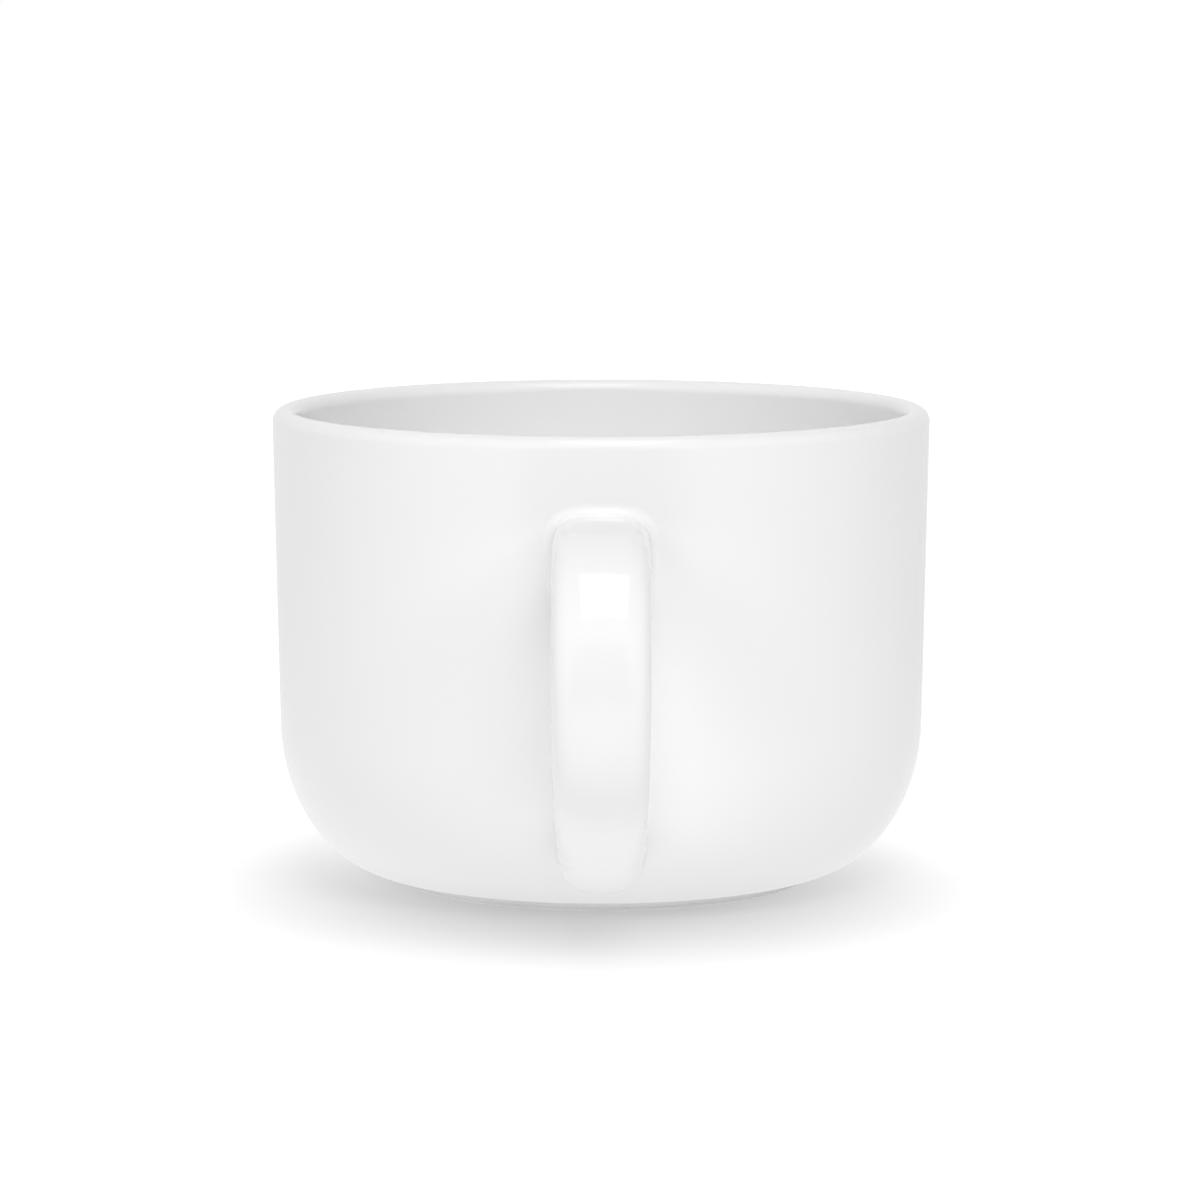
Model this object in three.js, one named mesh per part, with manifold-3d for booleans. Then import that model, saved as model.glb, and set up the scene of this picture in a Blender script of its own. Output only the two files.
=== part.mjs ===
// Latte mug: a wide, low, thrown bowl on a foot ring, with a strap handle luted to its side.
// A white gloss glaze covers everything except the ring that the mug stands on.
// Millimetres, +Z up. The bowl turns about the Z axis, and the handle points to -Y.
import * as THREE from "three";
import { mergeVertices } from "three/addons/utils/BufferGeometryUtils.js";
import Module from "manifold-3d";

const wasm = await Module();
wasm.setup();

// Bowl, measured over the glaze
const rimRadius = 50;
const mugHeight = 72;
const wallThickness = 3.8;
const wallDraft = THREE.MathUtils.degToRad(1.05);
const bottomCurveTop = 24.5;
const footRadius = 32.5;
const footHeight = 1.4;
const footWidth = 3.6;
const footEdge = 0.4;
const recessHeight = 2.3;
const floorHeight = 6.6;
const floorRadius = 29;
const innerCurveTop = 26.5;
const innerCurveWall = 4.4;

// Glaze coat
const glazeThickness = 0.3;
const glazeLine = 0.7;

// Handle, measured over the glaze: an upper arm, two bends and a lower arm that rises from the bowl
const upperArmDrop = 15.8;
const gripReach = 81;
const upperBend = 16;
const lowerArmHeight = 12.6;
const lowerArmRise = THREE.MathUtils.degToRad(20);
const gripWidth = 13.8;
const lowerWidth = 12.9;
const upperThickness = 9.6;
const gripThickness = 8.6;
const lowerThickness = 8;
const sectionPower = 4;

// Slip joints: how far each stands out from the bowl, and how far it spreads on the bowl round the strap
const upperSlipLength = 7;
const upperSpreadOver = 1.5;
const upperSpreadSide = 2;
const upperSpreadUnder = 7;
const lowerSlipLength = 7;
const lowerSpreadOver = 2.4;
const lowerSpreadSide = 0.3;
const lowerSpreadUnder = 4.4;
const jointPower = 2.5;
const seatGap = 0.15;

// The most of a slip joint's length that its fillet takes, and of the bottom curve before it lies level
const filletLimit = 0.9;
const curveLimit = 0.999;

// Steps of the round surfaces
const turnSteps = 48;
const curveSteps = 8;
const sectionSteps = 20;
const filletSteps = 4;
const seatSteps = 5;

const lipRadius = wallThickness / 2;
const lipHeight = mugHeight - lipRadius;
const curveTopRadius = rimRadius - (lipHeight - bottomCurveTop) * Math.tan(wallDraft);
const footInnerRadius = footRadius - footWidth;
const upperArmHeight = mugHeight - upperArmDrop;

// Points on an ellipse, each with the direction out of the clay, pushed into the clay by depth.
// facing is 1 where the clay is inside the ellipse and -1 where it is outside.
function ellipse(centre, radii, fromDegrees, toDegrees, facing, depth, steps = curveSteps) {
  const points = [];
  for (let i = 0; i <= steps; i++) {
    const turn = THREE.MathUtils.degToRad(fromDegrees + ((toDegrees - fromDegrees) * i) / steps);
    const out = new THREE.Vector2(Math.cos(turn) / radii[0], Math.sin(turn) / radii[1]).setLength(facing);
    const radius = centre[0] + radii[0] * Math.cos(turn) - depth * out.x;
    const height = centre[1] + radii[1] * Math.sin(turn) - depth * out.y;
    points.push(new THREE.Vector2(radius, height));
  }
  return points;
}

// The bowl's glazed outline, from the glaze line on the foot up the outside, over the lip and down inside.
function bowlOutline(depth) {
  const innerTopRadius = curveTopRadius - innerCurveWall;
  const outside = ellipse(
    [footRadius, bottomCurveTop],
    [curveTopRadius - footRadius, bottomCurveTop - footHeight],
    -90, 0, 1, depth,
  );
  const lip = ellipse([rimRadius - lipRadius, lipHeight], [lipRadius, lipRadius], 0, 180, 1, depth);
  const inside = ellipse(
    [floorRadius, innerCurveTop],
    [innerTopRadius - floorRadius, innerCurveTop - floorHeight],
    0, -90, -1, depth,
  );
  return [
    new THREE.Vector2(footRadius - depth, glazeLine),
    new THREE.Vector2(footRadius - depth, footHeight + depth),
    ...outside.slice(1),
    ...lip,
    ...inside,
    new THREE.Vector2(0, floorHeight - depth),
  ];
}

// The glazed outline of the recess under the base, from the axis to the glaze line inside the foot.
function recessOutline(depth) {
  const cove = recessHeight - glazeLine;
  const corner = ellipse([footInnerRadius - cove, glazeLine], [cove, cove], 90, 0, -1, depth, filletSteps);
  return [new THREE.Vector2(0, recessHeight + depth), ...corner];
}

// The bare ring that stands on the table, between the two glaze lines.
function footOutline() {
  const outer = footRadius - glazeThickness;
  const inner = footInnerRadius + glazeThickness;
  return [
    new THREE.Vector2(inner, footEdge),
    new THREE.Vector2(inner + footEdge, 0),
    new THREE.Vector2(outer - footEdge, 0),
    new THREE.Vector2(outer, footEdge),
  ];
}

// Merges a geometry's shared points and drops the empty triangles at its poles, to leave a closed surface.
function closed(geometry) {
  geometry.deleteAttribute("normal");
  geometry.deleteAttribute("uv");
  const merged = mergeVertices(geometry, 1e-4);
  const corners = merged.index.array;
  const kept = [];
  for (let i = 0; i < corners.length; i += 3) {
    const [a, b, c] = corners.slice(i, i + 3);
    if (a !== b && b !== c && c !== a) kept.push(a, b, c);
  }
  return merged.setIndex(kept);
}

function lathe(outline) {
  return closed(new THREE.LatheGeometry(outline, turnSteps).rotateX(Math.PI / 2));
}

// A surface through rings of points that follow one another along a path.
// Each patch is split along its shorter diagonal, so two skins through the same rings fit face to face.
function skin(rings) {
  const points = rings.flat();
  const indices = [];
  for (let ring = 0; ring + 1 < rings.length; ring++) {
    for (let step = 0; step < sectionSteps; step++) {
      const a = ring * sectionSteps + step;
      const b = ring * sectionSteps + ((step + 1) % sectionSteps);
      const c = a + sectionSteps;
      const d = b + sectionSteps;
      if (points[a].distanceTo(points[d]) < points[b].distanceTo(points[c])) indices.push(a, b, d, a, d, c);
      else indices.push(a, b, c, b, d, c);
    }
  }
  return closed(new THREE.BufferGeometry().setFromPoints(points).setIndex(indices));
}

function solid(geometry) {
  return new wasm.Manifold(
    new wasm.Mesh({
      numProp: 3,
      vertProperties: new Float32Array(geometry.attributes.position.array),
      triVerts: new Uint32Array(geometry.index.array),
    }),
  );
}

function geometryOf(manifold) {
  const mesh = manifold.getMesh();
  const geometry = new THREE.BufferGeometry();
  geometry.setAttribute("position", new THREE.BufferAttribute(mesh.vertProperties, 3));
  return geometry.setIndex([...mesh.triVerts]);
}

// How far down the bottom curve a height is, as a share of the curve's drop.
function curveShare(height) {
  return Math.min((bottomCurveTop - height) / (bottomCurveTop - footHeight), curveLimit);
}

// How fast the bowl's outer radius grows with height.
function bowlSlope(height) {
  if (height >= bottomCurveTop) return Math.tan(wallDraft);
  const share = curveShare(height);
  const width = curveTopRadius - footRadius;
  return (width * share) / ((bottomCurveTop - footHeight) * Math.sqrt(1 - share * share));
}

// The bowl's outer radius at a height, pushed into the clay by depth.
function bowlRadius(height, depth) {
  const push = depth * Math.hypot(1, bowlSlope(height));
  if (height >= bottomCurveTop) return rimRadius - (lipHeight - height) * Math.tan(wallDraft) - push;
  return footRadius + (curveTopRadius - footRadius) * Math.sqrt(1 - curveShare(height) ** 2) - push;
}

// The direction out of the bowl's outer surface at a point on it.
function bowlNormal(point) {
  const radius = Math.hypot(point.x, point.y);
  return new THREE.Vector3(point.x / radius, point.y / radius, -bowlSlope(point.z)).normalize();
}

// Where a line from a point outside the bowl meets the bowl's surface.
function meetBowl(point, direction, depth) {
  let outside = 0;
  let inside = point.length();
  const at = (distance) => point.clone().addScaledVector(direction, distance);
  while (inside - outside > 1e-5) {
    const middle = (outside + inside) / 2;
    const tried = at(middle);
    if (Math.hypot(tried.x, tried.y) > bowlRadius(tried.z, depth)) outside = middle;
    else inside = middle;
  }
  return at(outside);
}

// A point moved level, to or from the bowl's axis, onto the bowl's surface pushed in by depth.
function ontoBowl(point, depth) {
  const scale = bowlRadius(point.z, depth) / Math.hypot(point.x, point.y);
  return new THREE.Vector3(point.x * scale, point.y * scale, point.z);
}

// A place on the handle's centre line, with the way out from the finger hole and the strap's half sizes.
function station(reach, height, outDegrees, width, thickness) {
  const turn = THREE.MathUtils.degToRad(outDegrees);
  return {
    centre: new THREE.Vector3(0, -reach, height),
    out: new THREE.Vector3(0, -Math.cos(turn), Math.sin(turn)),
    halfWidth: width / 2,
    halfThickness: thickness / 2,
  };
}

// The stations of the handle's centre line, from the upper slip joint round the grip to the lower one.
function handleStations() {
  const lerp = THREE.MathUtils.lerp;
  const rise = THREE.MathUtils.radToDeg(lowerArmRise);
  const gripHeight = upperArmHeight - upperBend;
  const upperEnd = bowlRadius(upperArmHeight, 0) + upperSlipLength;
  const lowerSeat = bowlRadius(lowerArmHeight, 0);
  const lowerBend =
    ((gripHeight - lowerArmHeight) * Math.cos(lowerArmRise) -
      (gripReach - lowerSeat) * Math.sin(lowerArmRise)) /
    (1 - Math.sin(lowerArmRise));
  const lowerEnd = lowerSeat + lowerSlipLength * Math.cos(lowerArmRise);
  const lowerEndHeight = lowerArmHeight + lowerSlipLength * Math.sin(lowerArmRise);
  const bendLength = lowerBend * (Math.PI / 2 - lowerArmRise);
  const bendEnd = gripReach - lowerBend * (1 - Math.sin(lowerArmRise));
  const armLength = (bendEnd - lowerEnd) / Math.cos(lowerArmRise);

  const stations = [station(upperEnd, upperArmHeight, 90, gripWidth, upperThickness)];
  for (let i = 0; i <= curveSteps; i++) {
    const share = i / curveSteps;
    const turn = THREE.MathUtils.degToRad(90 - 90 * share);
    const reach = gripReach - upperBend + upperBend * Math.cos(turn);
    const height = gripHeight + upperBend * Math.sin(turn);
    const thickness = lerp(upperThickness, gripThickness, (1 + share) / 2);
    stations.push(station(reach, height, 90 - 90 * share, gripWidth, thickness));
  }
  for (let i = 1; i <= curveSteps; i++) {
    const share = i / curveSteps;
    const degrees = (rise - 90) * share;
    const turn = THREE.MathUtils.degToRad(degrees);
    const reach = gripReach - lowerBend + lowerBend * Math.cos(turn);
    const height = gripHeight + lowerBend * Math.sin(turn);
    const taper = (share * bendLength) / (bendLength + armLength);
    const width = lerp(gripWidth, lowerWidth, taper);
    const thickness = lerp(gripThickness, lowerThickness, taper);
    stations.push(station(reach, height, degrees, width, thickness));
  }
  stations.push(station(lowerEnd, lowerEndHeight, rise - 90, lowerWidth, lowerThickness));
  return stations;
}

// A ring of the strap's rounded section, drawn in by depth and spread unevenly.
// The spread's power sets how square the ring is: 2 is an ellipse, and 4 is a strap with rounded edges.
function sectionRing(place, depth, spread = strapOnly) {
  const ring = [];
  for (let step = 0; step < sectionSteps; step++) {
    const turn = (2 * Math.PI * step) / sectionSteps;
    const across = Math.sign(Math.cos(turn)) * Math.abs(Math.cos(turn)) ** (2 / spread.power);
    const out = Math.sign(Math.sin(turn)) * Math.abs(Math.sin(turn)) ** (2 / spread.power);
    const halfWidth = place.halfWidth - depth + spread.side;
    const halfThickness = place.halfThickness - depth + (out > 0 ? spread.over : spread.under);
    const point = place.centre.clone().addScaledVector(place.out, out * halfThickness);
    point.x += across * halfWidth;
    ring.push(point);
  }
  return ring;
}

// A ring shrunk to the middle of the strap, which closes a surface there.
function pole(place) {
  return sectionRing(place, 0).map(() => place.centre.clone());
}

// The edge of a slip joint on the bowl's glaze: the strap's outline there, spread along the surface.
function jointEdge(end, inward, spread, depth) {
  const wide = sectionRing(end, depth, spread);
  return sectionRing(end, depth).map((point, i) => {
    const corner = meetBowl(point, inward, -seatGap);
    const step = wide[i].clone().sub(point);
    const along = step.clone().projectOnPlane(bowlNormal(corner)).setLength(step.length());
    return ontoBowl(corner.add(along), -seatGap);
  });
}

// The rings of a slip joint's flare, from the handle's cut end to the bowl's glazed surface.
// Each fillet leaves the strap along the strap and comes in level with the bowl.
function flareRings(end, inward, spread, depth) {
  const start = sectionRing(end, depth);
  const edges = jointEdge(end, inward, spread, depth);
  const corners = start.map((point, i) => {
    const normal = bowlNormal(edges[i]);
    const run = edges[i].clone().sub(point).dot(normal) / inward.dot(normal);
    return point.clone().addScaledVector(inward, run);
  });
  const setbacks = start.map((point, i) =>
    Math.min(edges[i].distanceTo(corners[i]), filletLimit * point.distanceTo(corners[i])),
  );
  const rings = [start];
  for (let i = 0; i <= filletSteps; i++) {
    rings.push(
      start.map((point, k) => {
        const tangent = corners[k].clone().addScaledVector(inward, -setbacks[k]);
        const fillet = new THREE.QuadraticBezierCurve3(tangent, corners[k], edges[k]);
        return fillet.getPoint(i / filletSteps);
      }),
    );
  }
  return rings;
}

// The rings of a face that lies along the bowl's surface, from a slip joint's edge to its centre.
function seatRings(end, inward, edge, depth) {
  const centre = meetBowl(end.centre, inward, depth);
  const rings = [];
  for (let i = seatSteps; i >= 0; i--) {
    rings.push(edge.map((point) => ontoBowl(centre.clone().lerp(point, i / seatSteps), depth)));
  }
  return rings;
}

const stations = handleStations();
const upperEnd = stations[0];
const lowerEnd = stations[stations.length - 1];
const upperInward = new THREE.Vector3(0, 1, 0);
const lowerInward = new THREE.Vector3(0, Math.cos(lowerArmRise), -Math.sin(lowerArmRise));
const strapOnly = { over: 0, side: 0, under: 0, power: sectionPower };
const upperSpread = {
  over: upperSpreadOver,
  side: upperSpreadSide,
  under: upperSpreadUnder,
  power: jointPower,
};
// The strap's outer face is underneath at the lower joint, so over and under change places there.
const lowerSpread = {
  over: lowerSpreadUnder,
  side: lowerSpreadSide,
  under: lowerSpreadOver,
  power: jointPower,
};

function slipJoint(end, inward, spread) {
  const edge = jointEdge(end, inward, spread, glazeThickness);
  const flare = flareRings(end, inward, spread, glazeThickness);
  return [pole(end), ...flare, ...seatRings(end, inward, edge, glazeThickness - seatGap)];
}

// The place in the bowl's glaze that a slip joint passes through, which reaches well past both its faces.
function slipOpening(end, inward, spread) {
  const edge = jointEdge(end, inward, spread, glazeThickness - seatGap);
  const reach = wallThickness / 2;
  return [...seatRings(end, inward, edge, -reach).reverse(), ...seatRings(end, inward, edge, reach)];
}

function bowlBody() {
  return lathe([...recessOutline(glazeThickness), ...footOutline(), ...bowlOutline(glazeThickness)]);
}

function bowlGlaze() {
  const outline = bowlOutline(0);
  const coat = lathe([...outline, ...bowlOutline(glazeThickness).reverse(), outline[0].clone()]);
  const upperOpening = skin(slipOpening(upperEnd, upperInward, upperSpread).reverse());
  const lowerOpening = skin(slipOpening(lowerEnd, lowerInward, lowerSpread));
  return geometryOf(solid(coat).subtract(solid(upperOpening)).subtract(solid(lowerOpening)));
}

function baseGlaze() {
  return lathe([...recessOutline(0), ...recessOutline(glazeThickness).reverse()]);
}

function handleBody() {
  const rings = stations.map((place) => sectionRing(place, glazeThickness));
  return skin([pole(upperEnd), ...rings, pole(lowerEnd)]);
}

// The handle's coat runs over both slip joints down to the bowl's glaze.
function handleGlaze() {
  const surface = (depth) => [
    ...flareRings(upperEnd, upperInward, upperSpread, depth).reverse(),
    ...stations.slice(1, -1).map((place) => sectionRing(place, depth)),
    ...flareRings(lowerEnd, lowerInward, lowerSpread, depth),
  ];
  const outside = surface(0);
  return skin([...outside, ...surface(glazeThickness).reverse(), outside[0]]);
}

const clay = { color: 0xe9e4d9, roughness: 0.85, metalness: 0 };
const slip = { color: 0xddd5c6, roughness: 0.9, metalness: 0 };
const glaze = { color: 0xf6f6f4, roughness: 0.08, metalness: 0 };

const mug = new THREE.Group();
mug.name = "latte_mug";

function addPiece(name, geometry, finish) {
  const piece = new THREE.Mesh(geometry, new THREE.MeshStandardMaterial(finish));
  piece.name = name;
  mug.add(piece);
}

addPiece("bowl_body", bowlBody(), clay);
addPiece("bowl_glaze", bowlGlaze(), glaze);
addPiece("base_glaze", baseGlaze(), glaze);
addPiece("handle_body", handleBody(), clay);
addPiece("handle_glaze", handleGlaze(), glaze);
addPiece("upper_slip_joint", skin(slipJoint(upperEnd, upperInward, upperSpread).reverse()), slip);
addPiece("lower_slip_joint", skin(slipJoint(lowerEnd, lowerInward, lowerSpread)), slip);

// The origin is under the middle of the whole mug, from the back of the rim to the outside of the grip.
mug.position.y = (gripReach + gripThickness / 2 - rimRadius) / 2;

export default mug;
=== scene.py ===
# Looks of a wide, low latte mug: white gloss glaze over a thrown bowl and a strap handle.
# Metres, in the frame's own axes: the handle points to -Y, and the bowl turns about a line at AXIS_Y.
import math
import bmesh
import bpy
import numpy as np
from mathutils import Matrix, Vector


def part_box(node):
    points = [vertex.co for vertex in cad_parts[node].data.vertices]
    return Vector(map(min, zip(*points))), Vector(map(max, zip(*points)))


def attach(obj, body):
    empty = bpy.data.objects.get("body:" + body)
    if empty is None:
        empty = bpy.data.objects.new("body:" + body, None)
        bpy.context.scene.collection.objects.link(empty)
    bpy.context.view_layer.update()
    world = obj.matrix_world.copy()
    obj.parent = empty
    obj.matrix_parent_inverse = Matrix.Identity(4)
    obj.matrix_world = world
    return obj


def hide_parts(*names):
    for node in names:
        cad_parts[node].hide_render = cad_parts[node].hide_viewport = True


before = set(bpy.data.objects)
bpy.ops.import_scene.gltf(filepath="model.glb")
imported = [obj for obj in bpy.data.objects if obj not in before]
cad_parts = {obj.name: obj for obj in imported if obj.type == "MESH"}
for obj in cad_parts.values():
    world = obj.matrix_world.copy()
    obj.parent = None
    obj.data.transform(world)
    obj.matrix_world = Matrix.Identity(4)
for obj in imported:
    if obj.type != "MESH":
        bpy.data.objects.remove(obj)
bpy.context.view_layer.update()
coat_low, coat_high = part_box("bowl_glaze")
clay_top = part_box("bowl_body")[1].z
strap_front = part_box("handle_glaze")[0].y

MM = 0.001

# Bowl, measured over the glaze
AXIS_Y = (coat_low.y + coat_high.y) / 2
RIM_RADIUS = (coat_high.x - coat_low.x) / 2
MUG_HEIGHT = coat_high.z
WALL_DRAFT = math.radians(1.05)
LIP_RADIUS = 1.9 * MM
CURVE_TOP = 24.5 * MM
FOOT_RADIUS = 32.5 * MM
FOOT_HEIGHT = 1.4 * MM
FOOT_WIDTH = 3.6 * MM
FOOT_EDGE = 0.4 * MM
FOOT_FILLET = 0.5 * MM
RECESS_HEIGHT = 2.3 * MM
FLOOR_HEIGHT = 6.6 * MM
FLOOR_RADIUS = 29 * MM
INNER_CURVE_TOP = 26.5 * MM
INNER_CURVE_WALL = 4.4 * MM
LIP_HEIGHT = MUG_HEIGHT - LIP_RADIUS
CURVE_TOP_RADIUS = RIM_RADIUS - (LIP_HEIGHT - CURVE_TOP) * math.tan(WALL_DRAFT)
FOOT_INNER_RADIUS = FOOT_RADIUS - FOOT_WIDTH

# Glaze coat
GLAZE = coat_high.z - clay_top
GLAZE_LINE = coat_low.z

# Handle, measured over the glaze. The pulls draw its lower half into a curve.
UPPER_ARM_DROP = 15.8 * MM
UPPER_ARM_HEIGHT = MUG_HEIGHT - UPPER_ARM_DROP
UPPER_BEND = 16 * MM
LOWER_ARM_HEIGHT = 12.6 * MM
LOWER_ARM_RISE = math.radians(20)
GRIP_PULL = 14 * MM
ARM_PULL = 26 * MM
GRIP_WIDTH = 13.8 * MM
LOWER_WIDTH = 12.9 * MM
UPPER_THICKNESS = 9.6 * MM
GRIP_THICKNESS = 8.6 * MM
LOWER_THICKNESS = 8 * MM
GRIP_REACH = AXIS_Y - strap_front - GRIP_THICKNESS / 2
SECTION_POWER = 3.3

# Slip joints: length out from the bowl, then spread on it outwards, beside the strap and in its loop
UPPER_SLIP_LENGTH = 7 * MM
UPPER_SPREAD = (2.2 * MM, 2 * MM, 7 * MM)
LOWER_SLIP_LENGTH = 7 * MM
LOWER_SPREAD = (4.4 * MM, 0.3 * MM, 2.4 * MM)
JOINT_POWER = 2.5
JOINT_SINK = 0.03 * MM

# The way into the bowl along each arm of the strap
UPPER_INWARD = np.array([0, 1, 0])
LOWER_INWARD = np.array([0, math.cos(LOWER_ARM_RISE), -math.sin(LOWER_ARM_RISE)])

# The most of a slip joint's length that its fillet takes, and of the bottom curve before it lies level
FILLET_LIMIT = 0.9
CURVE_LIMIT = 0.999

# Steps of the round surfaces, and how far the strap's points are drawn to its corners
TURN_STEPS = 256
CURVE_STEPS = 40
LIP_STEPS = 28
BEAD_STEPS = 8
SECTION_STEPS = 176
CORNER_DRAW = 0.6
BEND_STEPS = 36
ARM_STEPS = 8
LOWER_STEPS = 60
FILLET_STEPS = 40
SEAT_STEPS = 6

# Meshes: the circle that outlines are swept along, halvings of a search, and what is joined or sharp
WHEEL_RADIUS = 30 * MM
SEARCH_STEPS = 40
MERGE_DISTANCE = 0.0001 * MM
SHARP_ANGLE = math.radians(50)

# Glaze look. A noise is its waves per metre and its detail. A range is where a change starts and ends.
GLAZE_THIN = (0.89, 0.89, 0.89, 1)
GLAZE_THICK = (0.915, 0.915, 0.915, 1)
GLAZE_IOR = 1.52
GLAZE_ROUGHNESS = 0.03
GLAZE_RELIEF = 0.012 * MM
POOL_NOISE = (26, 2)
LIP_THINNING = 0.5
RIPPLE_NOISE = (130, 2)
PEEL_NOISE = (1400, 1)
PEEL_SHARE = 0.05
HANDLED_NOISE = (60, 6)
HANDLED_RANGE = (0.5, 0.75)
HANDLED_ROUGHNESS = 0.03

# Painted shade: a grey line in the crease where the lower joint's glaze meets the bowl, which fades at a
# height over the bowl
CREASE_SHADE_COLOUR = (0.5, 0.5, 0.5, 1)
CREASE_SHADE_SHARE = 0.3
CREASE_SHADE_HEIGHT = 0.02 * MM

# Bare clay look, with grain and specks, and with scuffs where it stands
CLAY_DARK = (0.86, 0.857, 0.85, 1)
CLAY_LIGHT = (0.9, 0.897, 0.89, 1)
CLAY_ROUGHNESS = 0.9
CLAY_RELIEF = 0.03 * MM
GRAIN_NOISE = (2600, 4)
SPECK_COLOUR = (0.6, 0.57, 0.53, 1)
SPECK_SHARE = 0.12
SPECK_NOISE = (900, 1)
SPECK_RANGE = (0.68, 0.74)
SCUFF_COLOUR = (0.46, 0.45, 0.43, 1)
SCUFF_SHARE = 0.45
SCUFF_NOISE = (240, 5)
SCUFF_RANGE = (0.45, 0.7)
SCUFF_POLISH = 0.2
STANDING_RANGE = (0.02 * MM, 0.2 * MM)

# Slip look, with brush marks
SLIP_DARK = (0.76, 0.72, 0.65, 1)
SLIP_LIGHT = (0.82, 0.79, 0.73, 1)
SLIP_ROUGHNESS = 0.8
SLIP_RELIEF = 0.05 * MM
BRUSH_NOISE = (420, 3)
BRUSH_ROUGHNESS = 0.1

# Camera, from a fit to the photograph's rim, wall and foot
IMAGE_PIXELS = 1200
FOCAL_PIXELS = 4857
SENSOR_MM = 36
CAMERA_DISTANCE = 737.9 * MM
CAMERA_HEIGHT = 138.8 * MM
CAMERA_SIDE = -0.17 * MM
CAMERA_PITCH = math.radians(7.456)

# Floor that the camera sees: its tone, whose real shading keeps a little of the mug's shadow, and its
# lift to white outside a soft painted shadow round the foot
FLOOR_SIZE = 8
FLOOR_DROP = 0.05 * MM
FLOOR_TONE = 0.22
FLOOR_LIFT = 1
SHADE_LIFT = 0.38
SHADE_PLACE = (-1.5 * MM, 5 * MM, 0)
SHADE_SHAPE = (1.1, 1, 1)
SHADE_RANGE = (10 * MM, 95 * MM)

# Glow that the floor gives the mug in place of the light it would bounce: in the open, beside the foot,
# where it is lower as painted shade, and ahead of the mug
FLOOR_GLOW = 1.03
FOOT_GLOW = 0.72
FOOT_GLOW_WIDTH = 18 * MM
FRONT_GLOW = 0.7
FRONT_FLOOR_RANGE = (0.15, 0.4)

# What the gloss shows: white, a little darker behind, darker in the floor's painted shadow round the
# foot, and dark straight ahead.
# The range on the floor is in metres, and the others are shares of a direction.
SHADE_MIRROR = 0.85
BACK_MIRROR = 0.86
BACK_FLOOR_RANGE = (0, 0.3)
BACK_SKY_RANGE = (0, 0.3)
FRONT_MIRROR = 0.05
FRONT_SHAPE = (1.3, 1, 1)
FRONT_RANGE = (0.75, 0.95)

# Light from the left and from the back
LEFT_LIGHT = 0.7
BACK_LIGHT = 1.4

# Softboxes: places and sizes in metres, and powers in watts
TOP_PLACE = (0.1, -0.56, 1.5)
TOP_AIM = (TOP_PLACE[0], TOP_PLACE[1], 0)
TOP_SIZE = (0.66, 1.17)
TOP_POWER = 4.4
MUG_PLACE = (0, 0, 0)
OVERHEAD_PLACE = (0, -0.25, 1.4)
OVERHEAD_SIZE = (0.9, 0.9)
OVERHEAD_POWER = 0.8
KEY_PLACE = (0.3, -1.3, 1.55)
KEY_SIZE = (1.2, 0.8)
KEY_POWER = 17.5
FILL_DISTANCE = 1.4
FILL_SIDE = 1.2
FILL_HEIGHT = 1
FILL_SIZE = (0.8, 0.8)
LEFT_FILL_POWER = 6.1
RIGHT_FILL_POWER = 7.6

# Places of a Mix node's two colours and of its result
MIX_FIRST = 6
MIX_SECOND = 7
MIX_RESULT = 2


class Wire:
    """A socket in a node tree. Arithmetic on it adds Math nodes, with plain numbers on either side."""

    def __init__(self, tree, socket):
        self.tree = tree
        self.socket = socket

    def math(self, operation, *values):
        """Adds a Math node for these values."""
        return self.tree.node("ShaderNodeMath", {"operation": operation}, dict(enumerate(values)))

    def __add__(self, other):
        return self.math("ADD", self, other)

    def __radd__(self, other):
        return self.math("ADD", other, self)

    def __sub__(self, other):
        return self.math("SUBTRACT", self, other)

    def __rsub__(self, other):
        return self.math("SUBTRACT", other, self)

    def __mul__(self, other):
        return self.math("MULTIPLY", self, other)

    def __rmul__(self, other):
        return self.math("MULTIPLY", other, self)


class NodeTree:
    """A node tree that is written one node at a time."""

    def __init__(self, tree):
        self.tree = tree

    def node(self, kind, settings=None, sockets=None, output=0):
        """Adds a node with these settings and inputs, and gives one of its outputs."""
        made = self.tree.nodes.new(kind)
        for name, value in (settings or {}).items():
            setattr(made, name, value)
        for name, value in (sockets or {}).items():
            if isinstance(value, Wire):
                self.tree.links.new(value.socket, made.inputs[name])
            else:
                made.inputs[name].default_value = value
        return Wire(self, made.outputs[output]) if made.outputs else None

    def part(self, vector, axis):
        """One of a vector's three numbers."""
        return self.node("ShaderNodeSeparateXYZ", sockets={0: vector}, output=axis)

    def vector(self, operation, first, second=None, output=0):
        """Arithmetic on one or two vectors."""
        sockets = {0: first} if second is None else {0: first, 1: second}
        return self.node("ShaderNodeVectorMath", {"operation": operation}, sockets, output)

    def noise(self, place, scale, detail):
        """Smooth noise from 0 to 1."""
        sockets = {"Vector": place, "Scale": scale, "Detail": detail}
        return self.node("ShaderNodeTexNoise", {}, sockets, "Fac")

    def step(self, value, low, high):
        """0 below low, 1 above high and a smooth rise between."""
        settings = {"interpolation_type": "SMOOTHSTEP"}
        sockets = {"Value": value, "From Min": low, "From Max": high}
        return self.node("ShaderNodeMapRange", settings, sockets)

    def blend(self, share, first, second):
        """The first colour where share is 0 and the second where it is 1."""
        sockets = {"Factor": share, MIX_FIRST: first, MIX_SECOND: second}
        return self.node("ShaderNodeMix", {"data_type": "RGBA"}, sockets, MIX_RESULT)

    def ceramic(self, colour, roughness, relief, depth, **more):
        """A surface of this colour and roughness, with a relief of this depth."""
        bump = self.node("ShaderNodeBump", {}, {"Strength": 1, "Distance": depth, "Height": relief})
        sockets = {"Base Color": colour, "Roughness": roughness, "Normal": bump, **more}
        shader = self.node("ShaderNodeBsdfPrincipled", {}, sockets)
        self.node("ShaderNodeOutputMaterial", {}, {"Surface": shader})


def new_material(name):
    """An empty material, and its node tree."""
    material = bpy.data.materials.new(name)
    material.use_nodes = True
    material.node_tree.nodes.clear()
    return material, NodeTree(material.node_tree)


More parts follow.
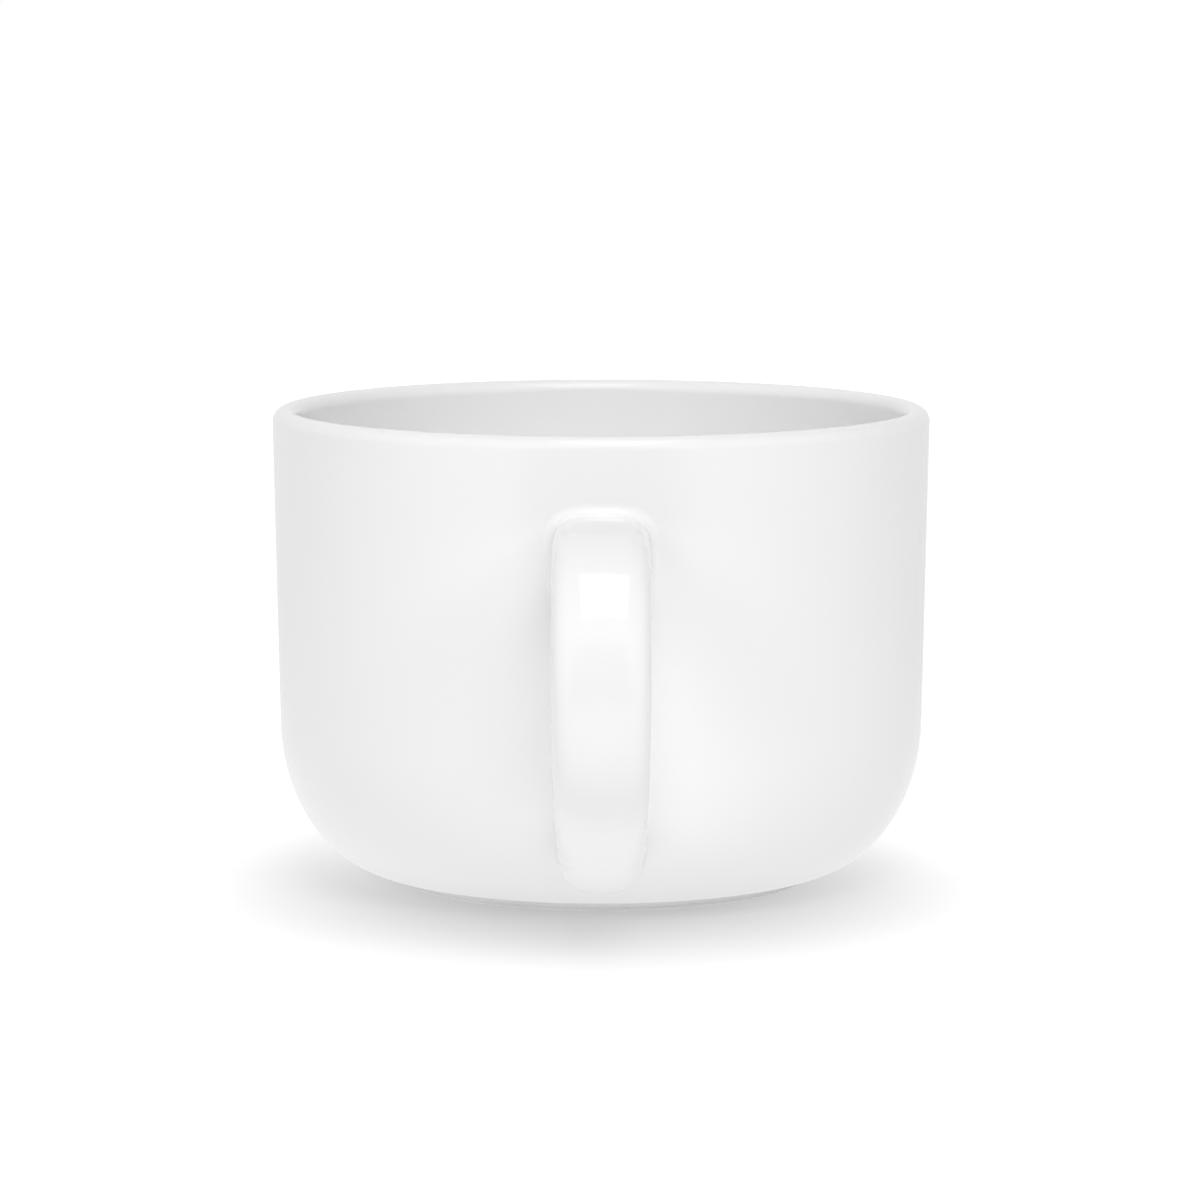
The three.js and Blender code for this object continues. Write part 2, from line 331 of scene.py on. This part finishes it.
def gloss_glaze():
    """White gloss glaze: it pools a little, thins over the lip, ripples, and is grey in the crease at a
    joint, as painted shade.
    """
    material, tree = new_material("white_gloss_glaze")
    place = tree.node("ShaderNodeTexCoord", output="Object")
    thin_lip = tree.step(tree.part(place, "Z"), LIP_HEIGHT, MUG_HEIGHT)
    thickness = tree.noise(place, *POOL_NOISE) - LIP_THINNING * thin_lip
    pooled = tree.blend(thickness, GLAZE_THIN, GLAZE_THICK)
    # Painted shade: the attribute read here marks the crease at the lower joint, which is greyed
    crease_shade = tree.node("ShaderNodeAttribute", {"attribute_name": "crease_shade"}, output="Fac")
    colour = tree.blend(CREASE_SHADE_SHARE * crease_shade, pooled, CREASE_SHADE_COLOUR)
    relief = tree.noise(place, *RIPPLE_NOISE) + PEEL_SHARE * tree.noise(place, *PEEL_NOISE)
    handled = tree.step(tree.noise(place, *HANDLED_NOISE), *HANDLED_RANGE)
    roughness = GLAZE_ROUGHNESS + HANDLED_ROUGHNESS * handled
    tree.ceramic(colour, roughness, relief, GLAZE_RELIEF, IOR=GLAZE_IOR)
    return material


def bare_clay():
    """Fired clay without glaze: matt, grainy, with a few dark specks and grey scuffs where it stands."""
    material, tree = new_material("bare_fired_clay")
    place = tree.node("ShaderNodeTexCoord", output="Object")
    grain = tree.noise(place, *GRAIN_NOISE)
    speck = tree.step(tree.noise(place, *SPECK_NOISE), *SPECK_RANGE)
    standing = 1 - tree.step(tree.part(place, "Z"), *STANDING_RANGE)
    scuff = standing * tree.step(tree.noise(place, *SCUFF_NOISE), *SCUFF_RANGE)
    clean = tree.blend(grain, CLAY_DARK, CLAY_LIGHT)
    worn = tree.blend(SCUFF_SHARE * scuff, clean, SCUFF_COLOUR)
    colour = tree.blend(SPECK_SHARE * speck, worn, SPECK_COLOUR)
    tree.ceramic(colour, CLAY_ROUGHNESS - SCUFF_POLISH * scuff, grain, CLAY_RELIEF)
    return material


def fired_slip():
    """Slip that lutes the handle on: the same clay, finer and wiped smooth with a wet brush."""
    material, tree = new_material("fired_slip")
    place = tree.node("ShaderNodeTexCoord", output="Object")
    brushed = tree.noise(place, *BRUSH_NOISE)
    colour = tree.blend(brushed, SLIP_DARK, SLIP_LIGHT)
    tree.ceramic(colour, SLIP_ROUGHNESS + BRUSH_ROUGHNESS * brushed, brushed, SLIP_RELIEF)
    return material


def ellipse(centre, radii, start, end, facing, depth, steps):
    """Points on an ellipse, pushed into the clay by depth. The clay is inside it if facing is 1."""
    turn = np.radians(np.linspace(start, end, steps + 1))
    round_point = np.stack([np.cos(turn), np.sin(turn)], axis=1)
    out = round_point / radii
    out *= facing / np.linalg.norm(out, axis=1, keepdims=True)
    return np.array(centre) + round_point * radii - depth * out


def bowl_outline(depth):
    """The bowl's glazed outline, from the glaze line on the foot, over the lip and down to the floor."""
    curve = [CURVE_TOP_RADIUS - FOOT_RADIUS, CURVE_TOP - FOOT_HEIGHT]
    curve_start = math.degrees(math.asin(FOOT_FILLET / curve[0])) - 90
    fillet_centre = [FOOT_RADIUS + FOOT_FILLET, FOOT_HEIGHT - FOOT_FILLET]
    lip_centre = [RIM_RADIUS - LIP_RADIUS, LIP_HEIGHT]
    inner_curve = [CURVE_TOP_RADIUS - INNER_CURVE_WALL - FLOOR_RADIUS, INNER_CURVE_TOP - FLOOR_HEIGHT]
    return np.vstack([
        [[FOOT_RADIUS - depth, GLAZE_LINE + GLAZE / 2]],
        ellipse(fillet_centre, [FOOT_FILLET, FOOT_FILLET], 180, 90, -1, depth, BEAD_STEPS),
        ellipse([FOOT_RADIUS, CURVE_TOP], curve, curve_start, 0, 1, depth, CURVE_STEPS),
        ellipse(lip_centre, [LIP_RADIUS, LIP_RADIUS], 0, 180, 1, depth, LIP_STEPS),
        ellipse([FLOOR_RADIUS, INNER_CURVE_TOP], inner_curve, 0, -90, -1, depth, CURVE_STEPS),
        [[0, FLOOR_HEIGHT - depth]],
    ])


def recess_outline(depth):
    """The glazed outline of the recess under the base, from the glaze line to the axis."""
    cove = RECESS_HEIGHT - GLAZE_LINE - GLAZE / 2
    corner = [FOOT_INNER_RADIUS - cove, GLAZE_LINE + GLAZE / 2]
    return np.vstack([
        ellipse(corner, [cove, cove], 0, 90, -1, depth, BEAD_STEPS),
        [[0, RECESS_HEIGHT + depth]],
    ])


def foot_outline():
    """The bare ring that the mug stands on, from its outside to its inside, with eased edges."""
    outer = FOOT_RADIUS - GLAZE - FOOT_EDGE
    inner = FOOT_INNER_RADIUS + GLAZE + FOOT_EDGE
    edge = [FOOT_EDGE, FOOT_EDGE]
    return np.vstack([
        ellipse([outer, FOOT_EDGE], edge, 0, -90, 1, 0, BEAD_STEPS),
        ellipse([inner, FOOT_EDGE], edge, -90, -180, 1, 0, BEAD_STEPS),
    ])


def glaze_bead(radius):
    """The round edge of a glaze coat at the glaze line, from its larger radius to its smaller one."""
    edge = [GLAZE / 2, GLAZE / 2]
    return ellipse([radius, GLAZE_LINE + GLAZE / 2], edge, 0, -180, 1, 0, BEAD_STEPS)


def wheel_tree():
    """A Geometry Nodes tree that turns an outline about the bowl's axis, as a potter's wheel does."""
    group = bpy.data.node_groups.new("potters_wheel", "GeometryNodeTree")
    given = {
        "Outline": "NodeSocketGeometry",
        "Steps": "NodeSocketInt",
        "Wheel Radius": "NodeSocketFloat",
        "Axis": "NodeSocketVector",
        "Finish": "NodeSocketMaterial",
    }
    for name, kind in given.items():
        group.interface.new_socket(name, in_out="INPUT", socket_type=kind)
    group.interface.new_socket("Piece", in_out="OUTPUT", socket_type="NodeSocketGeometry")
    tree = NodeTree(group)
    wire = {name: tree.node("NodeGroupInput", output=name) for name in given}
    circle = {"Resolution": wire["Steps"], "Radius": wire["Wheel Radius"]}
    wheel = tree.node("GeometryNodeCurvePrimitiveCircle", {}, circle)
    thrown = tree.node("GeometryNodeCurveToMesh", {}, {"Curve": wheel, "Profile Curve": wire["Outline"]})
    joined = {"Geometry": thrown, "Distance": MERGE_DISTANCE}
    closed = tree.node("GeometryNodeMergeByDistance", {}, joined)
    placed = tree.node("GeometryNodeTransform", {}, {"Geometry": closed, "Translation": wire["Axis"]})
    real = tree.node("GeometryNodeRealizeInstances", {}, {"Geometry": placed})
    finished = tree.node("GeometryNodeSetMaterial", {}, {"Geometry": real, "Material": wire["Finish"]})
    tree.node("NodeGroupOutput", {}, {"Piece": finished})
    return group


def turned(name, outline, finish, wheel):
    """A mesh turned from an outline that starts and ends on the axis, by the wheel's tree."""
    curve = bpy.data.curves.new(name, "CURVE")
    curve.dimensions = "3D"
    spline = curve.splines.new("POLY")
    spline.points.add(len(outline) - 1)
    for point, (radius, height) in zip(spline.points, outline):
        point.co = (radius - WHEEL_RADIUS, -height, 0, 1)
    holder = bpy.data.objects.new(name, curve)
    bpy.context.scene.collection.objects.link(holder)
    modifier = holder.modifiers.new("wheel", "NODES")
    modifier.node_group = wheel
    values = {
        "Steps": TURN_STEPS,
        "Wheel Radius": WHEEL_RADIUS,
        "Axis": (0, AXIS_Y, 0),
        "Finish": finish,
    }
    for label, value in values.items():
        modifier[wheel.interface.items_tree[label].identifier] = value
    evaluated = holder.evaluated_get(bpy.context.evaluated_depsgraph_get())
    mesh = bpy.data.meshes.new_from_object(evaluated)
    holder.modifiers.remove(modifier)
    bpy.data.objects.remove(holder)
    return mesh


def curve_share(height):
    """How far down the bottom curve a height is, as a share of the curve's drop."""
    return np.clip((CURVE_TOP - height) / (CURVE_TOP - FOOT_HEIGHT), 0, CURVE_LIMIT)


def bowl_slope(height):
    """How fast the bowl's outer radius grows with height."""
    share = curve_share(height)
    curve = (CURVE_TOP_RADIUS - FOOT_RADIUS) / (CURVE_TOP - FOOT_HEIGHT) * share / np.sqrt(1 - share**2)
    return np.where(height >= CURVE_TOP, math.tan(WALL_DRAFT), curve)


def bowl_radius(height, depth):
    """The bowl's outer radius at a height, pushed into the clay by depth."""
    wall = RIM_RADIUS - (LIP_HEIGHT - height) * math.tan(WALL_DRAFT)
    curve = FOOT_RADIUS + (CURVE_TOP_RADIUS - FOOT_RADIUS) * np.sqrt(1 - curve_share(height) ** 2)
    return np.where(height >= CURVE_TOP, wall, curve) - depth * np.hypot(1, bowl_slope(height))


def bowl_normal(points):
    """The direction out of the bowl's outer surface at points on it."""
    radius = np.hypot(points[:, 0], points[:, 1])
    out = np.stack([points[:, 0] / radius, points[:, 1] / radius, -bowl_slope(points[:, 2])], axis=1)
    return out / np.linalg.norm(out, axis=1, keepdims=True)


def stand_off(points):
    """How far points are out from the bowl's outer surface."""
    outward = np.hypot(points[:, 0], points[:, 1]) - bowl_radius(points[:, 2], 0)
    return outward / np.hypot(1, bowl_slope(points[:, 2]))


def meet_bowl(points, direction, depth):
    """Where lines from points outside the bowl meet the bowl's surface."""
    outside = np.zeros(len(points))
    inside = np.linalg.norm(points, axis=1)
    for _ in range(SEARCH_STEPS):
        middle = (outside + inside) / 2
        tried = points + middle[:, None] * direction
        clear = np.hypot(tried[:, 0], tried[:, 1]) > bowl_radius(tried[:, 2], depth)
        outside = np.where(clear, middle, outside)
        inside = np.where(clear, inside, middle)
    return points + outside[:, None] * direction


def onto_bowl(points, depth):
    """Points moved level, to or from the bowl's axis, onto the bowl's surface pushed in by depth."""
    scale = bowl_radius(points[:, 2], depth) / np.hypot(points[:, 0], points[:, 1])
    return points * np.stack([scale, scale, np.ones_like(scale)], axis=1)


def station(reach, height, out_degrees, width, thickness):
    """A place on the strap's centre line, with the way out from the finger hole and its half sizes."""
    turn = math.radians(out_degrees)
    centre = np.array([0, -reach, height])
    out = np.array([0, -math.cos(turn), math.sin(turn)])
    return centre, out, width / 2, thickness / 2


def cubic(corners, share):
    """A point on a cubic curve with these corners, and the way the curve runs there."""
    first, second, third, fourth = corners
    rest = 1 - share
    point = rest**3 * first + 3 * rest**2 * share * second
    point = point + 3 * rest * share**2 * third + share**3 * fourth
    run = rest**2 * (second - first) + 2 * rest * share * (third - second) + share**2 * (fourth - third)
    return point, run


def strap_stations():
    """Stations of the strap's centre line, from the upper slip joint round the grip to the lower one."""
    straight_up = 90
    grip_height = UPPER_ARM_HEIGHT - UPPER_BEND
    upper_end = float(bowl_radius(UPPER_ARM_HEIGHT, 0)) + UPPER_SLIP_LENGTH
    lower_seat = float(bowl_radius(LOWER_ARM_HEIGHT, 0))
    arm = np.array([math.cos(LOWER_ARM_RISE), math.sin(LOWER_ARM_RISE)])
    lower_end = np.array([lower_seat, LOWER_ARM_HEIGHT]) + LOWER_SLIP_LENGTH * arm
    grip = np.array([GRIP_REACH, grip_height])
    lower_corners = [grip, grip - np.array([0, GRIP_PULL]), lower_end + ARM_PULL * arm, lower_end]

    def upper(reach, height, turn, share):
        thickness = np.interp(share, [0, 1], [UPPER_THICKNESS, GRIP_THICKNESS])
        return station(reach, height, turn, GRIP_WIDTH, thickness)

    stations = []
    for share in np.linspace(0, 1, ARM_STEPS, endpoint=False):
        reach = np.interp(share, [0, 1], [upper_end, GRIP_REACH - UPPER_BEND])
        stations.append(upper(reach, UPPER_ARM_HEIGHT, straight_up, share / 2))
    for share in np.linspace(0, 1, BEND_STEPS, endpoint=False):
        turn = math.pi / 2 * (1 - share)
        reach = GRIP_REACH - UPPER_BEND * (1 - math.cos(turn))
        height = grip_height + UPPER_BEND * math.sin(turn)
        stations.append(upper(reach, height, math.degrees(turn), (1 + share) / 2))
    for share in np.linspace(0, 1, LOWER_STEPS + 1):
        (reach, height), (inward, upward) = cubic(lower_corners, share)
        degrees = -math.degrees(math.atan2(-inward, -upward))
        width = np.interp(share, [0, 1], [GRIP_WIDTH, LOWER_WIDTH])
        thickness = np.interp(share, [0, 1], [GRIP_THICKNESS, LOWER_THICKNESS])
        stations.append(station(reach, height, degrees, width, thickness))
    return stations


def section_ring(place, depth, spread=(0, 0, 0), power=SECTION_POWER):
    """A ring of the strap's rounded section, drawn in by depth and spread out, beside and in.

    Its points are closer together at the four corners.
    """
    centre, out, half_width, half_thickness = place
    spread_out, spread_side, spread_in = spread
    even = np.linspace(0, 2 * math.pi, SECTION_STEPS, endpoint=False)
    turn = even + CORNER_DRAW * np.sin(4 * even) / 4
    reach = (np.abs(np.cos(turn)) ** power + np.abs(np.sin(turn)) ** power) ** (-1 / power)
    across = reach * np.cos(turn) * (half_width - depth + spread_side)
    outward = reach * np.sin(turn)
    outward *= half_thickness - depth + np.where(outward > 0, spread_out, spread_in)
    return centre + across[:, None] * np.array([1, 0, 0]) + outward[:, None] * out


def joint_edge(end, inward, spread, depth):
    """The edge of a slip joint on the bowl: the strap's outline there, spread along the surface."""
    strap = section_ring(end, depth)
    corner = meet_bowl(strap, inward, JOINT_SINK)
    step = section_ring(end, depth, spread, JOINT_POWER) - strap
    normal = bowl_normal(corner)
    along = step - np.sum(step * normal, axis=1, keepdims=True) * normal
    length = np.linalg.norm(along, axis=1, keepdims=True)
    along *= np.linalg.norm(step, axis=1, keepdims=True) / np.maximum(length, MERGE_DISTANCE)
    return onto_bowl(corner + along, JOINT_SINK)


def flare_rings(end, inward, spread, depth):
    """Rings of a slip joint's flare: fillets that leave along the strap and end along the bowl."""
    start = section_ring(end, depth)
    edge = joint_edge(end, inward, spread, depth)
    normal = bowl_normal(edge)
    run = np.sum((edge - start) * normal, axis=1) / (normal @ inward)
    corner = start + run[:, None] * inward
    setback = np.minimum(np.linalg.norm(edge - corner, axis=1), FILLET_LIMIT * run)
    tangent = corner - setback[:, None] * inward
    rings = [start]
    for share in np.linspace(0, 1, FILLET_STEPS + 1):
        rings.append((1 - share) ** 2 * tangent + 2 * share * (1 - share) * corner + share**2 * edge)
    return rings


def seat_rings(end, inward, edge, depth):
    """Rings of a face that lies along the bowl's surface, from a slip joint's edge to its centre."""
    centre = meet_bowl(end[0][None], inward, depth)
    shares = np.linspace(1, 0, SEAT_STEPS + 1)
    return [onto_bowl(centre + share * (edge - centre), depth) for share in shares]


def pole(place):
    """A ring drawn together at a station's centre, which closes a loft."""
    return np.repeat(place[0][None], SECTION_STEPS, axis=0)


def loft(name, rings, finish, crease_shade=None):
    """A closed mesh through rings of points about the bowl's axis, and how much painted crease shade
    each point has.
    """
    points = np.vstack(rings) + np.array([0, AXIS_Y, 0])
    count = SECTION_STEPS
    faces = []
    for ring in range(len(rings) - 1):
        for step in range(count):
            first = ring * count + step
            second = ring * count + (step + 1) % count
            faces.append((first, second, second + count, first + count))
    mesh = bpy.data.meshes.new(name)
    mesh.from_pydata(points.tolist(), [], faces)
    mesh.materials.append(finish)
    if crease_shade is not None:
        mesh.attributes.new("crease_shade", "FLOAT", "POINT").data.foreach_set("value", crease_shade)
    shape = bmesh.new()
    shape.from_mesh(mesh)
    bmesh.ops.remove_doubles(shape, verts=shape.verts, dist=MERGE_DISTANCE)
    shape.to_mesh(mesh)
    shape.free()
    return mesh


def handle_coat(stations, finish):
    """The handle's glaze, which runs over both slip joints and blends into the bowl's glaze."""
    def surface(depth):
        upper_flare = flare_rings(stations[0], UPPER_INWARD, UPPER_SPREAD, depth)
        lower_flare = flare_rings(stations[-1], LOWER_INWARD, LOWER_SPREAD, depth)
        strap = [section_ring(place, depth) for place in stations[1:-1]]
        return upper_flare[::-1] + strap + lower_flare

    outside = surface(0)
    rings = outside + surface(GLAZE)[::-1] + outside[:1]
    points = np.vstack(rings)
    # Painted shade: glaze points that lie on the bowl below the curve's top are marked, to be greyed as
    # a crease line
    near_bowl = np.clip(1 - np.abs(stand_off(points)) / CREASE_SHADE_HEIGHT, 0, 1)
    crease_shade = np.where(points[:, 2] < CURVE_TOP, near_bowl, 0)
    return loft("handle_coat", rings, finish, crease_shade)


def handle_clay(stations, finish):
    """The cast clay strap under the glaze, cut square at both ends."""
    rings = [section_ring(place, GLAZE) for place in stations]
    return loft("handle_clay", [pole(stations[0]), *rings, pole(stations[-1])], finish)


def slip_joint(name, end, inward, spread, finish):
    """The slip between a cut end of the strap and the bowl, with its fillet."""
    flare = flare_rings(end, inward, spread, GLAZE)
    seat = seat_rings(end, inward, flare[-1], GLAZE)
    return loft(name, [pole(end), *flare, *seat], finish)


def show(name, mesh, node):
    """Adds a finished piece that stands for a CAD node."""
    mesh.shade_smooth()
    mesh.set_sharp_from_angle(angle=SHARP_ANGLE)
    piece = bpy.data.objects.new(name, mesh)
    bpy.context.scene.collection.objects.link(piece)
    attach(piece, "root")
    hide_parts(node)


def show_bowl(glaze, clay):
    """The bowl's clay, its glaze, and the glaze in the recess under it."""
    wheel = wheel_tree()
    outer_bead = glaze_bead(FOOT_RADIUS - GLAZE / 2)
    inner_bead = glaze_bead(FOOT_INNER_RADIUS + GLAZE / 2)
    bowl_clay = np.vstack([bowl_outline(GLAZE)[::-1], foot_outline(), recess_outline(GLAZE)])
    bowl_coat = np.vstack([bowl_outline(0)[::-1], outer_bead, bowl_outline(GLAZE)])
    base_coat = np.vstack([recess_outline(GLAZE)[::-1], inner_bead, recess_outline(0)])
    show("bowl_clay", turned("bowl_clay", bowl_clay, clay, wheel), "bowl_body")
    show("bowl_coat", turned("bowl_coat", bowl_coat, glaze, wheel), "bowl_glaze")
    show("base_coat", turned("base_coat", base_coat, glaze, wheel), "base_glaze")


def show_handle(glaze, clay):
    """The handle's clay, its glaze, and the slip at both of its ends."""
    slip = fired_slip()
    stations = strap_stations()
    upper_slip = slip_joint("upper_slip", stations[0], UPPER_INWARD, UPPER_SPREAD, slip)
    lower_slip = slip_joint("lower_slip", stations[-1], LOWER_INWARD, LOWER_SPREAD, slip)
    # The strap's outer face is on top at this joint and underneath at the other, so it is turned over.
    upper_slip.flip_normals()
    show("handle_clay", handle_clay(stations, clay), "handle_body")
    show("handle_coat", handle_coat(stations, glaze), "handle_glaze")
    show("upper_slip", upper_slip, "upper_slip_joint")
    show("lower_slip", lower_slip, "lower_slip_joint")


def ray(tree, kind):
    """1 for rays of this kind, and 0 for others."""
    return tree.node("ShaderNodeLightPath", output=f"Is {kind} Ray")


def mirrored(tree):
    """1 for what gloss or glass shows, and 0 for light that falls on things."""
    gloss = ray(tree, "Glossy")
    return gloss.math("MAXIMUM", gloss, ray(tree, "Transmission"))


def straight_ahead(tree, place):
    """1 for what lies straight ahead of the mug, and 0 to the sides and behind."""
    direction = tree.vector("NORMALIZE", tree.vector("MULTIPLY", place, FRONT_SHAPE))
    return tree.step(-1 * tree.part(direction, "Y"), *FRONT_RANGE)


def floor_light(tree, place, open_floor):
    """What the floor gives to the mug: a glow in place of the light that falls on it, with painted shade
    beside the foot, and a painted look of the floor for its gloss.
    """
    backward = tree.part(place, "Y")
    behind = tree.step(backward, *BACK_FLOOR_RANGE)
    ahead = tree.step(-1 * backward, *FRONT_FLOOR_RANGE)
    dark_front = ahead * straight_ahead(tree, place)
    shade = (1 - BACK_MIRROR) * behind + (1 - FRONT_MIRROR) * dark_front
    # Painted reflection of the floor: darker in its painted shadow round the foot, behind, and straight
    # ahead
    mirror = SHADE_MIRROR + (1 - SHADE_MIRROR) * open_floor - shade
    # Painted shade: the floor glows less beside the foot
    from_axis = tree.vector("DISTANCE", place, (0, AXIS_Y, 0), "Value")
    past_foot = tree.step(from_axis, FOOT_RADIUS, FOOT_RADIUS + FOOT_GLOW_WIDTH)
    glow = FOOT_GLOW + (FLOOR_GLOW - FOOT_GLOW) * past_foot - (FLOOR_GLOW - FRONT_GLOW) * ahead
    return tree.node("ShaderNodeEmission", {}, {"Strength": glow + (mirror - glow) * mirrored(tree)})


def floor_finish():
    """Pale where the camera sees it, with a soft painted shadow round the foot that goes over to white,
    and clear from below.
    """
    material, tree = new_material("pale_floor")
    place = tree.node("ShaderNodeTexCoord", output="Object")
    shaped = tree.vector("MULTIPLY", place, SHADE_SHAPE)
    from_shade = tree.vector("DISTANCE", shaped, SHADE_PLACE, "Value")
    open_floor = tree.step(from_shade, *SHADE_RANGE)
    matt = tree.node("ShaderNodeBsdfDiffuse", {}, {"Color": (FLOOR_TONE, FLOOR_TONE, FLOOR_TONE, 1)})
    # Painted shadow: the lift is lower round the foot, so the floor is darker there
    lift = SHADE_LIFT + (FLOOR_LIFT - SHADE_LIFT) * open_floor
    lifted = tree.node("ShaderNodeEmission", {}, {"Strength": lift})
    seen = tree.node("ShaderNodeAddShader", {}, {0: matt, 1: lifted})
    unseen = floor_light(tree, place, open_floor)
    above = tree.node("ShaderNodeMixShader", {}, {0: ray(tree, "Camera"), 1: unseen, 2: seen})
    below = tree.node("ShaderNodeNewGeometry", output="Backfacing")
    clear = tree.node("ShaderNodeBsdfTransparent")
    shader = tree.node("ShaderNodeMixShader", {}, {0: below, 1: above, 2: clear})
    tree.node("ShaderNodeOutputMaterial", {}, {"Surface": shader})
    return material


def pale_floor():
    """The floor that the mug stands on."""
    half = FLOOR_SIZE / 2
    corners = [(-half, -half), (half, -half), (half, half), (-half, half)]
    mesh = bpy.data.meshes.new("pale_floor")
    mesh.from_pydata([(x, y, -FLOOR_DROP) for x, y in corners], [], [(0, 1, 2, 3)])
    mesh.materials.append(floor_finish())
    floor = bpy.data.objects.new("pale_floor", mesh)
    bpy.context.scene.collection.objects.link(floor)


def studio_world():
    """Soft light from the left and the back, with white where it is looked at."""
    world = bpy.data.worlds.new("studio")
    world.use_nodes = True
    world.node_tree.nodes.clear()
    tree = NodeTree(world.node_tree)
    direction = tree.node("ShaderNodeTexCoord", output="Generated")
    rightward = tree.part(direction, "X")
    backward = tree.part(direction, "Y")
    left = rightward.math("MAXIMUM", -1 * rightward, 0)
    back = backward.math("MAXIMUM", backward, 0)
    light = LEFT_LIGHT * left * left + BACK_LIGHT * back * back
    behind = tree.step(backward, *BACK_SKY_RANGE)
    ahead = straight_ahead(tree, direction)
    mirror = 1 - (1 - BACK_MIRROR) * behind - (1 - FRONT_MIRROR) * ahead
    camera = ray(tree, "Camera")
    strength = light + (mirror - light) * mirrored(tree) + (1 - light) * camera
    background = tree.node("ShaderNodeBackground", {}, {"Color": (1, 1, 1, 1), "Strength": strength})
    tree.node("ShaderNodeOutputWorld", {}, {"Surface": background})
    bpy.context.scene.world = world


def softbox(name, place, aim, size, power, mirrors=True):
    """A rectangular lamp that shines from one place to another, and shows in gloss if it mirrors."""
    lamp = bpy.data.lights.new(name, "AREA")
    lamp.shape = "RECTANGLE"
    lamp.size, lamp.size_y = size
    lamp.energy = power
    holder = bpy.data.objects.new(name, lamp)
    holder.location = place
    holder.rotation_euler = (Vector(aim) - Vector(place)).to_track_quat("-Z", "Y").to_euler()
    holder.visible_glossy = mirrors
    bpy.context.scene.collection.objects.link(holder)


def light_studio():
    """The lamps: one that shows in the gloss, and four that only give light."""
    softbox("top_softbox", TOP_PLACE, TOP_AIM, TOP_SIZE, TOP_POWER)
    softbox("overhead_softbox", OVERHEAD_PLACE, MUG_PLACE, OVERHEAD_SIZE, OVERHEAD_POWER, mirrors=False)
    softbox("key_softbox", KEY_PLACE, MUG_PLACE, KEY_SIZE, KEY_POWER, mirrors=False)
    for side, power in ((-FILL_SIDE, LEFT_FILL_POWER), (FILL_SIDE, RIGHT_FILL_POWER)):
        place = (side, -FILL_DISTANCE, FILL_HEIGHT)
        softbox("fill_softbox", place, MUG_PLACE, FILL_SIZE, power, mirrors=False)


def place_camera():
    """The photograph's camera, ahead of the bowl's axis and tilted down."""
    camera = bpy.data.cameras.new("camera")
    camera.sensor_width = SENSOR_MM
    camera.lens = SENSOR_MM * FOCAL_PIXELS / IMAGE_PIXELS
    holder = bpy.data.objects.new("camera", camera)
    holder.location = (CAMERA_SIDE, AXIS_Y - CAMERA_DISTANCE, CAMERA_HEIGHT)
    holder.rotation_euler = (math.pi / 2 - CAMERA_PITCH, 0, 0)
    bpy.context.scene.collection.objects.link(holder)
    bpy.context.scene.camera = holder


glaze = gloss_glaze()
clay = bare_clay()
show_bowl(glaze, clay)
show_handle(glaze, clay)
pale_floor()
studio_world()
light_studio()
place_camera()
bpy.context.scene.view_settings.view_transform = "Standard"
